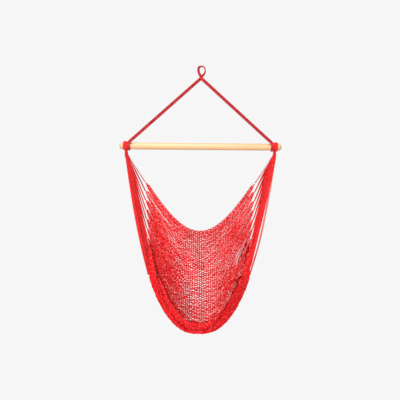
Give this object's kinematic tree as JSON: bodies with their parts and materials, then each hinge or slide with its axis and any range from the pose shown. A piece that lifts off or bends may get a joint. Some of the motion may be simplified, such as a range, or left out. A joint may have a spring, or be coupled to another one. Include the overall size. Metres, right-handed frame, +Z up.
{
  "type": "hammock chair",
  "caption": "Hanging net chair: a cord eye, two suspension ropes, a wooden spreader bar and a net seat gathered on strings, with a rolled front edge.",
  "frame": {"origin": "inside top of the hanging eye, where a hook carries the chair", "axes": "+Z up, out of the top of the eye; +X along the spreader bar, to the right as seen from the front; the sitter faces -Y"},
  "size_m": [0.9, 0.2444, 1.4776],
  "materials": {
    "cord": "laid cotton cord, matt with a soft sheen",
    "thread": "waxed whipping thread",
    "string": "thin twisted cotton string",
    "net": "knitted cotton net, matt",
    "hem": "close rolled cotton, matt",
    "wood": "pale turned wood with a thin satin lacquer"
  },
  "bodies": {
    "hanging_eye": {"hanging_eye": "cord", "throat_whipping": "thread"},
    "suspension": {"suspension_rope_left": "cord", "suspension_rope_right": "cord"},
    "spreader_bar": {"spreader_bar": "wood"},
    "seat": {"arm_string_left_01": "string", "arm_string_left_02": "string", "arm_string_left_03": "string", "arm_string_left_04": "string", "arm_string_left_05": "string", "arm_string_left_06": "string", "arm_string_left_07": "string", "arm_string_left_08": "string", "arm_string_left_09": "string", "arm_string_left_10": "string", "arm_string_left_11": "string", "arm_string_right_01": "string", "arm_string_right_02": "string", "arm_string_right_03": "string", "arm_string_right_04": "string", "arm_string_right_05": "string", "arm_string_right_06": "string", "arm_string_right_07": "string", "arm_string_right_08": "string", "arm_string_right_09": "string", "arm_string_right_10": "string", "arm_string_right_11": "string", "back_edge_cord": "cord", "front_hem": "hem", "neck_whipping_left": "thread", "neck_whipping_right": "thread", "seat_eye_left": "cord", "seat_eye_right": "cord", "seat_net": "net"}
  },
  "joints": [
    {"name": "rope_twist", "type": "hinge", "parent": "hanging_eye", "child": "suspension", "pos_m": [0, 0, -0.0735], "axis": [0, 0, 1], "range_deg": [-90, 90], "stiffness_Nm_per_rad": 0.02},
    {"name": "bar_turn", "type": "hinge", "parent": "suspension", "child": "spreader_bar", "pos_m": [0, 0, -0.442], "axis": [1, 0, 0], "range_deg": [-45, 45]},
    {"name": "seat_swing", "type": "hinge", "parent": "spreader_bar", "child": "seat", "pos_m": [0, 0, -0.442], "axis": [1, 0, 0], "range_deg": [-40, 40]}
  ]
}
